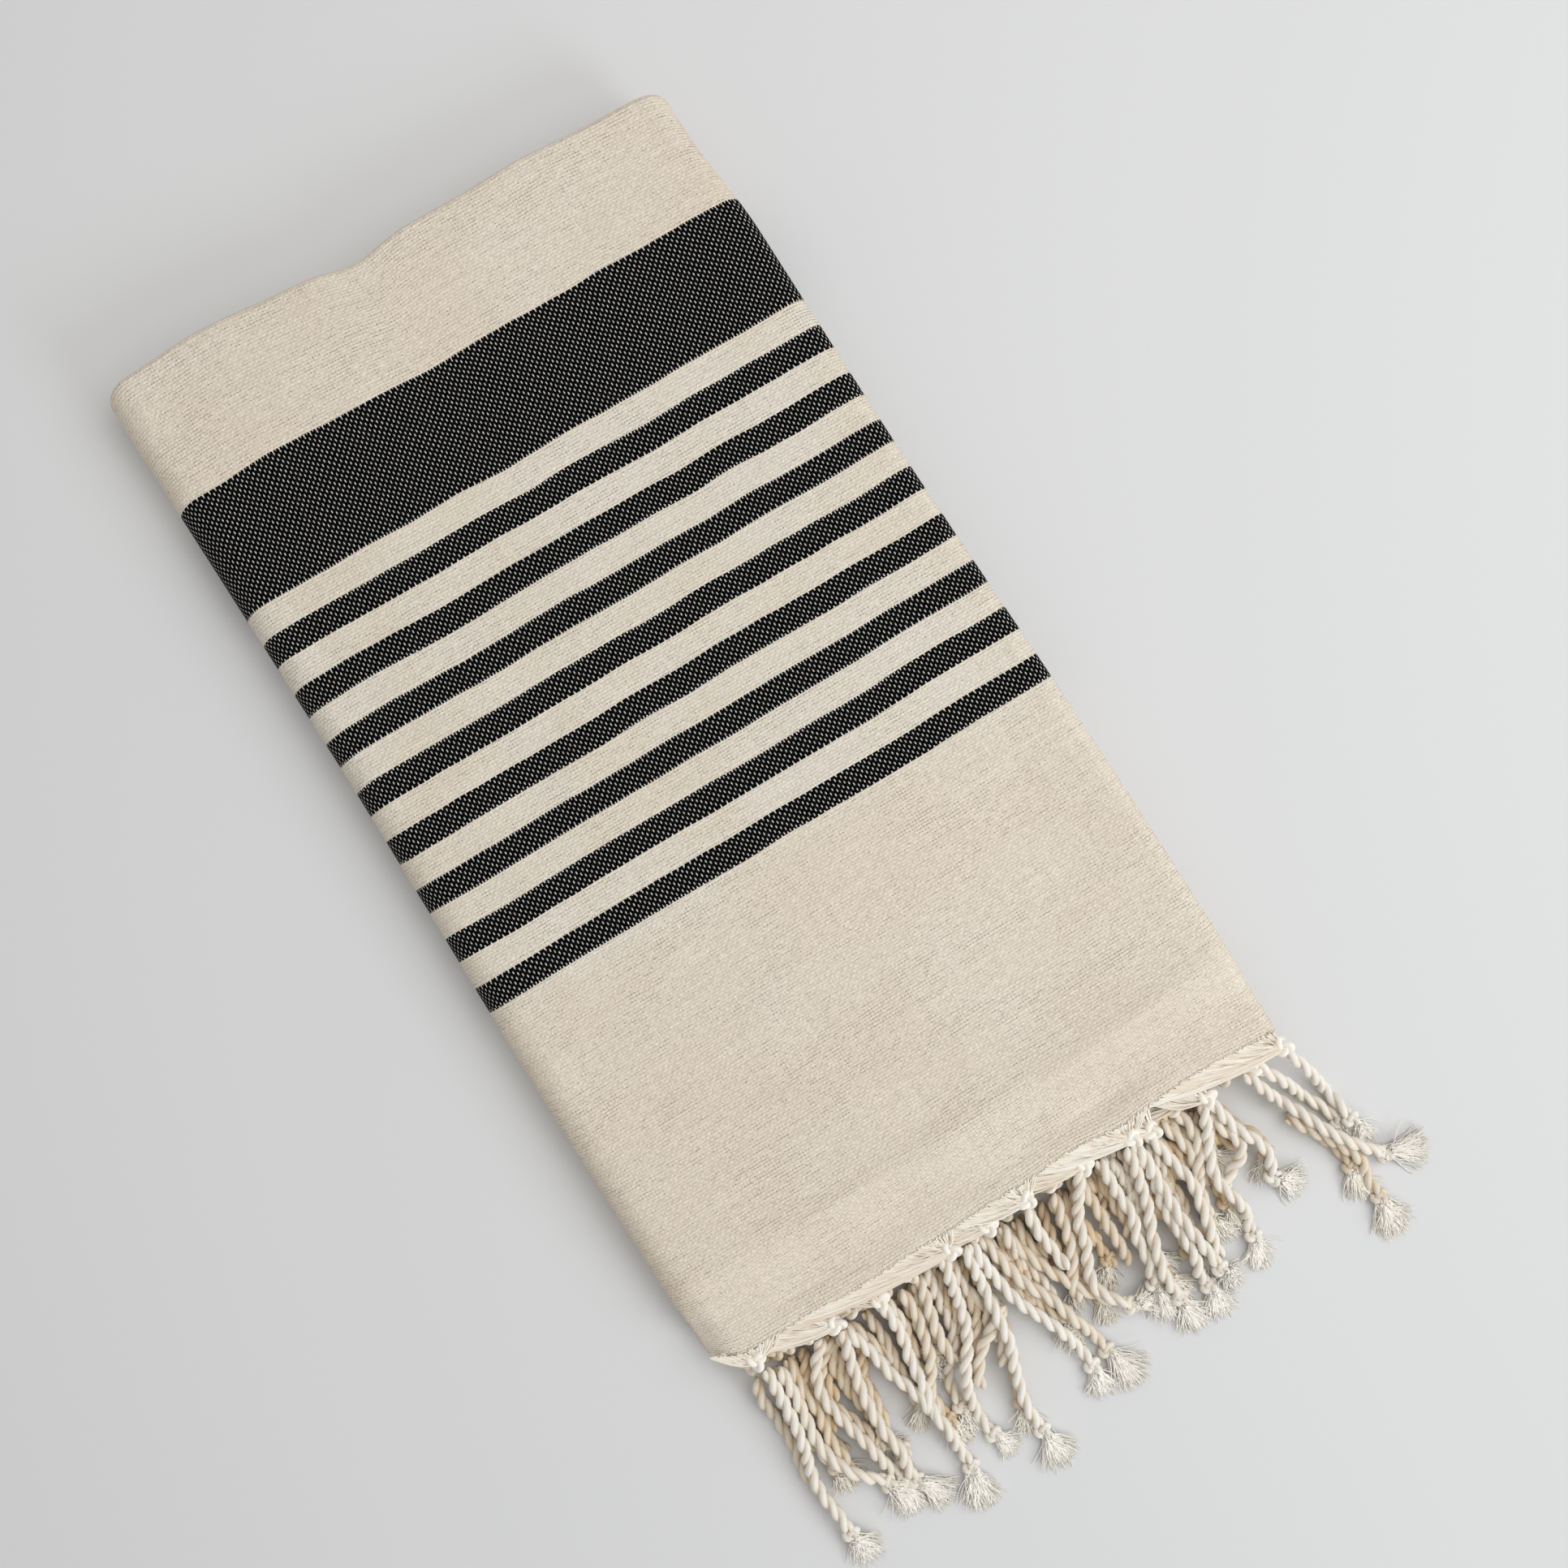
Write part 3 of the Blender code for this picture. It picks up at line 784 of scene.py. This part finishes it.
def centred_fraction(net, value, pitch, shift=0.0):
    turns = net.math("ADD", net.math("DIVIDE", value, pitch), shift)
    return net.math("SUBTRACT", net.math("FRACT", turns), 0.5)


def stripe_group(length):
    """Black where the bands are. Every second warp end leaves a pale tick in a band's edge."""
    net, given, result = new_group("stripes", ("Across", "Along"), (("Black", FLOAT),))
    across, along = given[0], given[1]
    along = net.math("MINIMUM", along, net.math("SUBTRACT", length, along))
    wander = net.math("SUBTRACT", net.noise(across, along, 26, 14, 2.0), 0.5)
    along = net.math("MULTIPLY_ADD", wander, 0.0030, along)
    column = net.math("ABSOLUTE", centred_fraction(net, across, DOT_ACROSS))
    tick = net.math("MULTIPLY", net.step(column, 0.05, 0.15, 1.0, 0.0), 0.0008)
    soft = 0.00012

    def band(place, start, end):
        risen = net.math("SUBTRACT", net.math("SUBTRACT", place, start), tick)
        left = net.math("SUBTRACT", net.math("SUBTRACT", end, place), tick)
        return net.math(
            "MULTIPLY", net.step(risen, -soft, soft), net.step(left, -soft, soft)
        )

    turns = net.math("DIVIDE", net.math("SUBTRACT", along, STRIPE_START - 0.002), STRIPE_PITCH)
    place = net.math("MULTIPLY", net.math("FRACT", turns), STRIPE_PITCH)
    thin = band(place, 0.002, 0.002 + STRIPE_WIDTH)
    among = net.math(
        "MULTIPLY", net.step(turns, -0.001, 0.001), net.step(turns, STRIPES - 0.05, STRIPES, 1.0, 0.0)
    )
    thin = net.math("MULTIPLY", thin, among)
    net.put(result[0], net.math("MAXIMUM", thin, band(along, BAND_START, BAND_END)))
    return net.tree


def dots_group():
    """Where the pale warp shows through a black band: a lattice of short upright dots."""
    net, given, result = new_group("warp_dots", ("Across", "Along"), (("Dots", FLOAT),))
    across, along = given[0], given[1]
    drift = net.math("SUBTRACT", net.noise(across, along, 55, 55, 2.0), 0.5)
    sway = net.math("SUBTRACT", net.noise(across, along, 70, 70, 2.0, offset=7.0), 0.5)
    across = net.math("MULTIPLY_ADD", drift, 0.0011, across)
    along = net.math("MULTIPLY_ADD", sway, 0.0012, along)

    def lattice(shift):
        column = centred_fraction(net, across, DOT_ACROSS, shift)
        row = centred_fraction(net, along, DOT_ALONG, shift)
        x = net.math("MULTIPLY", column, DOT_ACROSS / DOT_HALF_WIDTH)
        y = net.math("MULTIPLY", row, DOT_ALONG / DOT_HALF_LENGTH)
        size = net.math("ADD", net.math("MULTIPLY", x, x), net.math("MULTIPLY", y, y))
        return net.step(size, 0.35, 1.25, 1.0, 0.0)

    both = net.math("MAXIMUM", lattice(0.0), lattice(0.5))
    uneven = net.step(net.noise(given[0], given[1], 420, 300, 1.0, offset=3.0), 0.25, 0.7, 0.62, 1.0)
    net.put(result[0], net.math("MULTIPLY", both, uneven))
    return net.tree


def weave_group(length):
    """Plain weave: its height, and the gaps between yarns, which run in broken lines and are painted
    dark as painted shade.
    """
    outputs = (("Height", FLOAT), ("Gaps", FLOAT))
    net, given, result = new_group("plain_weave", ("Across", "Along"), outputs)
    across, along = given[0], given[1]
    drift = net.math("SUBTRACT", net.noise(across, along, 40, 60, 2.0, offset=1.0), 0.5)
    sway = net.math("SUBTRACT", net.noise(across, along, 30, 75, 2.0, offset=5.0), 0.5)
    across = net.math("MULTIPLY_ADD", drift, 0.0010, across)
    along = net.math("MULTIPLY_ADD", sway, 0.0016, along)
    warp = net.math("SINE", net.math("MULTIPLY", across, math.pi / WARP_PITCH))
    weft = net.math("SINE", net.math("MULTIPLY", along, math.pi / WEFT_PITCH))
    warp_crown = net.math("ABSOLUTE", warp)
    weft_crown = net.math("ABSOLUTE", weft)
    over = net.math("MULTIPLY", warp, weft)
    height = net.math("MULTIPLY_ADD", over, 0.20, net.math("MULTIPLY", warp_crown, 0.14))
    height = net.math("MULTIPLY_ADD", weft_crown, 0.40, height)
    fuzz = net.noise(given[0], given[1], 1300, 1300, 2.0, offset=14.0)
    lumps = net.noise(given[0], given[1], 260, 420, 2.0, offset=15.0)
    height = net.math("MULTIPLY_ADD", fuzz, 1.2, height)
    height = net.math("MULTIPLY_ADD", lumps, 0.8, height)
    line = net.math("ROUND", net.math("DIVIDE", along, WEFT_PITCH))
    dashes = net.noise(given[0], line, 220, 3.7, 2.0, offset=2.0)
    patches = net.noise(given[0], given[1], 26, 40, 2.0, offset=9.0)
    patches = net.math("SUBTRACT", patches, 0.5)
    dashes = net.step(net.math("MULTIPLY_ADD", patches, 0.60, dashes), 0.56, 0.63)
    end = net.math("MINIMUM", given[1], net.math("SUBTRACT", length, given[1]))
    near = net.step(end, 0.001, 0.009, 0.9, 0.0)
    # painted shade: near the raw ends more holes are painted dark
    holes = net.step(net.noise(given[0], line, 60, 5.1, 2.0, offset=4.0), 0.46, 0.58)
    dashes = net.math("MAXIMUM", dashes, net.math("MULTIPLY", near, holes))
    narrow = net.step(weft_crown, 0.04, 0.50, 1.0, 0.0)
    broken = net.step(warp_crown, 0.15, 0.95, 1.0, 0.10)
    dashes = net.math("MULTIPLY", dashes, net.math("MULTIPLY", narrow, broken))
    weft_gap = net.step(weft_crown, 0.0, 0.5, 1.0, 0.0)
    warp_gap = net.step(warp_crown, 0.0, 0.5, 1.0, 0.0)
    pores = net.math("MULTIPLY", weft_gap, warp_gap)
    uneven = net.step(net.noise(given[0], given[1], 330, 330, 2.0, offset=3.0), 0.42, 0.68, 0.0, 0.55)
    gaps = net.math("MAXIMUM", dashes, net.math("MULTIPLY", pores, uneven))
    net.put(result[0], height)
    net.put(result[1], gaps)
    return net.tree


def tint_group():
    """Unbleached cotton: soft warm and cool blotches, yarn streaks and a few brown flecks."""
    net, given, result = new_group("cotton_tint", ("Across", "Along"), (("Tint", COLOUR),))
    across, along = given[0], given[1]
    cloud = net.noise(across, along, 22, 22, 3.0, offset=1.5)
    tint = net.mix(net.step(cloud, 0.3, 0.7), (0.985, 0.962, 0.925), UNTINTED)
    weft = net.noise(across, along, 30, 780, 2.0, offset=6.0)
    streak = net.mix(net.step(weft, 0.3, 0.72), (0.94, 0.93, 0.915), UNTINTED)
    tint = net.mix(1.0, tint, streak, "MULTIPLY")
    warp = net.noise(across, along, 740, 26, 2.0, offset=8.0)
    streak = net.mix(net.step(warp, 0.3, 0.72), (0.955, 0.95, 0.94), UNTINTED)
    tint = net.mix(1.0, tint, streak, "MULTIPLY")
    grain = net.noise(across, along, 760, 760, 3.0, roughness=0.7, offset=10.0)
    spots = net.mix(net.step(grain, 0.30, 0.70), (0.86, 0.85, 0.83), UNTINTED)
    tint = net.mix(1.0, tint, spots, "MULTIPLY")
    fleck = net.noise(across, along, 700, 900, 2.0, offset=12.0)
    tint = net.mix(net.step(fleck, 0.755, 0.80, 0.0, 0.7), tint, (0.36, 0.26, 0.18))
    net.put(result[0], tint)
    return net.tree


def use_group(net, tree, *values):
    node = net.add("ShaderNodeGroup")
    node.node_tree = tree
    for socket, value in zip(node.inputs, values):
        net.put(socket, value)
    return node.outputs


def start_material(name, roughness, shine=0.12):
    made = bpy.data.materials.new(name)
    made.use_nodes = True
    net = Net(made.node_tree)
    surface = made.node_tree.nodes["Principled BSDF"]
    surface.inputs["Roughness"].default_value = roughness
    surface.inputs["Specular IOR Level"].default_value = shine
    return made, net, surface


def measured(net):
    place = net.add("ShaderNodeUVMap", uv_map="measure")
    split = net.add("ShaderNodeSeparateXYZ")
    net.put(split.inputs[0], place.outputs[0])
    return split.outputs[0], split.outputs[1]


CREAM = (0.925, 0.842, 0.732)
PALE_CREAM = (0.90, 0.86, 0.77)  # between the stripes
DOT_CREAM = (0.70, 0.675, 0.63)
GAP_SHADE_BROWN = (0.22, 0.155, 0.095)
WHITE_COTTON = (0.98, 0.95, 0.88)
# the tan that lower rows and ply crevices are painted with, as painted shade; yarns also vary a
# little towards it at random
SHADED_TAN_COTTON = (0.74, 0.57, 0.37)
BLACK_YARN = (0.0015, 0.0015, 0.0018)
WORN_BLACK = (0.0060, 0.0060, 0.0062)


def woven_cotton(groups, length):
    made, net, surface = start_material("woven_cotton", 0.95, 0.04)
    across, along = measured(net)
    black = use_group(net, groups["stripes"], across, along)[0]
    dots = use_group(net, groups["dots"], across, along)[0]
    weave = use_group(net, groups["weave"], across, along)
    tint = use_group(net, groups["tint"], across, along)[0]
    end = net.math("MINIMUM", along, net.math("SUBTRACT", length, along))
    after_first = net.step(end, 0.155, 0.170)
    before_band = net.step(end, 0.340, 0.350, 1.0, 0.0)
    whiter = net.math("MULTIPLY", after_first, before_band)
    ground = net.mix(net.math("MULTIPLY", whiter, 0.55), CREAM, PALE_CREAM)
    ground = net.mix(1.0, ground, tint, "MULTIPLY")
    # painted shade: the low parts of the weave are painted darker and its crowns a touch lighter
    shade = net.step(weave[0], 0.75, 1.75, 0.80, 1.03)
    ground = net.mix(1.0, ground, shade, "MULTIPLY")
    # painted shade: the gaps and holes between yarns are painted dark brown
    ground = net.mix(net.math("MULTIPLY", weave[1], 0.80, clamp=True), ground, GAP_SHADE_BROWN)
    worn = net.step(net.noise(across, along, 500, 900, 2.0, offset=16.0), 0.40, 0.65)
    inked = net.mix(dots, net.mix(worn, BLACK_YARN, WORN_BLACK), DOT_CREAM)
    net.put(surface.inputs["Base Color"], net.mix(black, ground, inked))
    plain_height = net.math("MULTIPLY_ADD", weave[1], -0.8, weave[0])
    band_height = net.math("MULTIPLY_ADD", dots, 0.5, 1.2)
    lift = net.math("SUBTRACT", band_height, plain_height)
    height = net.math("MULTIPLY_ADD", black, lift, plain_height)
    bump = net.add("ShaderNodeBump")
    bump.inputs["Strength"].default_value = 0.75
    bump.inputs["Distance"].default_value = 0.00035
    net.put(bump.inputs["Height"], height)
    net.put(surface.inputs["Normal"], bump.outputs[0])
    return made


def fringe_cotton(name, lines, slant):
    """Yarn, white to tan by each yarn's tone, which is painted shade on lower rows and in ply
    crevices, with a random spread. Any fine threads run along it, a little slanted.
    """
    made, net, surface = start_material(name, 0.88)
    around, along = measured(net)
    tone = net.add("ShaderNodeAttribute", attribute_name="tone").outputs["Fac"]
    base = net.mix(tone, WHITE_COTTON, SHADED_TAN_COTTON)
    if lines:
        turned = net.math("MULTIPLY_ADD", along, slant, around)
        sway = net.noise(around, along, 6, 220, 1.0, offset=2.0)
        turned = net.math("MULTIPLY_ADD", sway, 0.10, turned)
        wave = net.math("SINE", net.math("MULTIPLY", turned, 2 * math.pi * lines))
        crown = net.math("MULTIPLY_ADD", wave, 0.5, 0.5)
        # painted shade: the grooves between the fine threads are painted a little darker
        base = net.mix(1.0, base, net.step(crown, 0.0, 0.7, 0.93, 1.0), "MULTIPLY")
        bump = net.add("ShaderNodeBump")
        bump.inputs["Strength"].default_value = 0.5
        bump.inputs["Distance"].default_value = 0.00016
        net.put(bump.inputs["Height"], crown)
        net.put(surface.inputs["Normal"], bump.outputs[0])
    net.put(surface.inputs["Base Color"], base)
    return made


def plain_finish(name, colour, roughness):
    made, _, surface = start_material(name, roughness)
    surface.inputs["Base Color"].default_value = (*colour, 1.0)
    return made


# ---------------------------------------------------------------- making the towel

placed, faces, flat_place, sheet_length, sheet_width = folded_sheet()
groups = {
    "stripes": stripe_group(sheet_length),
    "dots": dots_group(),
    "weave": weave_group(sheet_length),
    "tint": tint_group(),
}
cloth_finish = woven_cotton(groups, sheet_length)
cord_finish = fringe_cotton("fringe_cotton", 17, 30.0)
yarn_finish = fringe_cotton("yarn_cotton", 0, 0.0)
floor_finish = plain_finish("pale_floor", (0.74, 0.74, 0.74), 0.8)
low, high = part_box("towel_cloth")
shift = np.array([(low[k] + high[k]) / 2.0 for k in range(2)])
shift = shift - (placed[:, :2].min(axis=0) + placed[:, :2].max(axis=0)) / 2.0
move = np.array([shift[0], shift[1], 0.0])
towel = make_mesh("woven_towel", placed + move, faces, flat_place, cloth_finish)

FRINGE_NODES = {"outer_end": "fringe_outer_end", "inner_end": "fringe_inner_end"}
row_end = ["outer_end" if level == 4 else "inner_end" for _, level in ROWS]
cords = {end: Heap() for end in FRINGE_NODES}
yarns = {end: Heap() for end in FRINGE_NODES}
tufts = {end: Heap() for end in FRINGE_NODES}
pile = Pile()

jobs = []
for number, (row, heading, length, route) in enumerate(CORDS):
    jobs.append((row, 1, heading, length, route))
    start_x, start_y = route[0]
    if start_y < HEADER_REACH or start_x > OUTSIDE_RIGHT or start_x < OUTSIDE_LEFT:
        continue
    for copy in range(HIDDEN_COPIES):
        hidden_row = HIDDEN_ROWS[(number * HIDDEN_COPIES + copy) % len(HIDDEN_ROWS)]
        if hidden_row <= row:
            hidden_row = len(ROWS) - 1
        slide = rng.normal(0, 1, 2) * np.array([5.0, 1.0])
        shortest, longest = (0.45, 0.8) if copy else (0.7, 1.0)
        keep = max(3, int(len(route) * rng.uniform(shortest, longest)))
        bend = rng.normal(0, 1.2, keep)
        under = tuple(
            (x + slide[0] * (1 - 0.6 * k / keep) + bend[k], y + slide[1])
            for k, (x, y) in enumerate(route[:keep])
        )
        tuft_length = 0 if copy else 10
        jobs.append((hidden_row, 0, rng.uniform(-40, 40), tuft_length, under))

for row, seen, heading, length, route in sorted(jobs, key=lambda job: (-job[0], job[1])):
    end = row_end[row]
    tallest = max(13.5 - 1.3 * row, 5.5) if seen else 6.5
    line = cord_line(pile, row, route, tallest * MM)
    # painted shade: the lower a row lies, the tanner its cords are painted, plus a random spread
    tone = ROW_SHADE_TONES[row] + rng.uniform(-0.05, 0.1)
    plies(cords[end], line, rng.uniform(0, 6), tone, 9 if seen else 7)
    if length:
        tip = line[-1] - line[-4]
        ahead = math.atan2(tip[0], -tip[1])
        turn = math.radians(heading)
        end_knot(cords[end], line[-1] + np.array([0, -1.5 * MM, 0]), ahead, TIP_KNOT, tone)
        start = line[-1] + 3.5 * MM * np.array([math.sin(turn), -math.cos(turn), 0.0])
        hairs = SEEN_HAIRS if seen else HIDDEN_HAIRS
        tuft(tufts[end], start, turn, length * MM, hairs, 0.3 * tone)

for row in range(len(ROWS)):
    seen = row < 2
    pitch, radius = (0.48 * MM, 0.36 * MM) if seen else (2.2 * MM, 0.6 * MM)
    # painted shade: the header yarns of lower rows are painted tanner too
    gathered_ends(yarns[row_end[row]], row, pitch, radius, ROW_SHADE_TONES[row])

for end, node in FRINGE_NODES.items():
    for heaps, label, finish in (
        (cords, "cords", cord_finish),
        (yarns, "gathered_yarns", yarn_finish),
        (tufts, "tufts", yarn_finish),
    ):
        piece = heaps[end].mesh(f"{end}_{label}", finish)
        piece.data.transform(Matrix.Translation(tuple(move)))
        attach(piece, "root")
        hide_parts(node)

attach(towel, "root")
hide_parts("towel_cloth")

# ---------------------------------------------------------------- floor, light and camera


def floor():
    made = make_mesh(
        "floor",
        [(-3, -3, -0.0001), (3, -3, -0.0001), (3, 3, -0.0001), (-3, 3, -0.0001)],
        [(0, 1, 2, 3)],
        None,
        floor_finish,
        smooth=False,
    )
    return made


def area_light(name, place, aim, size, power, colour):
    data = bpy.data.lights.new(name, "AREA")
    data.shape = "DISK"
    data.size = size
    data.energy = power
    data.color = colour
    lamp = bpy.data.objects.new(name, data)
    bpy.context.scene.collection.objects.link(lamp)
    lamp.location = place
    way = np.array(aim) - np.array(place)
    pitch = math.atan2(math.hypot(way[0], way[1]), -way[2])
    lamp.rotation_euler = (pitch, 0.0, math.atan2(way[1], way[0]) - math.pi / 2)


def world(colour, strength):
    made = bpy.data.worlds.new("room")
    made.use_nodes = True
    back = made.node_tree.nodes["Background"]
    back.inputs[0].default_value = (*colour, 1.0)
    back.inputs[1].default_value = strength
    bpy.context.scene.world = made


def camera():
    data = bpy.data.cameras.new("camera")
    data.lens = 37.7
    data.sensor_width = 36.0
    made = bpy.data.objects.new("camera", data)
    bpy.context.scene.collection.objects.link(made)
    made.location = (EYE_X * MM + move[0], EYE_Y * MM + move[1], (EYE_HEIGHT + STACK_TOP) * MM)
    made.rotation_euler = (0.0, 0.0, math.radians(-32.4))
    bpy.context.scene.camera = made


ground = floor()
world((1.0, 0.985, 0.965), 0.455)
area_light("ceiling", (0.40, 0.22, 1.4), (0.30, 0.16, 0.0), 1.2, 4.2, (1.0, 0.99, 0.98))
area_light("window", (0.92, -0.24, 1.30), (0.0, 0.0, 0.0), 1.4, 8.0, (0.95, 0.97, 1.0))
area_light("low_window", (1.0, -2.2, 1.25), (0.0, 0.0, 0.0), 1.1, 22.0, (0.90, 0.955, 1.0))
camera()
bpy.context.scene.view_settings.view_transform = "Standard"
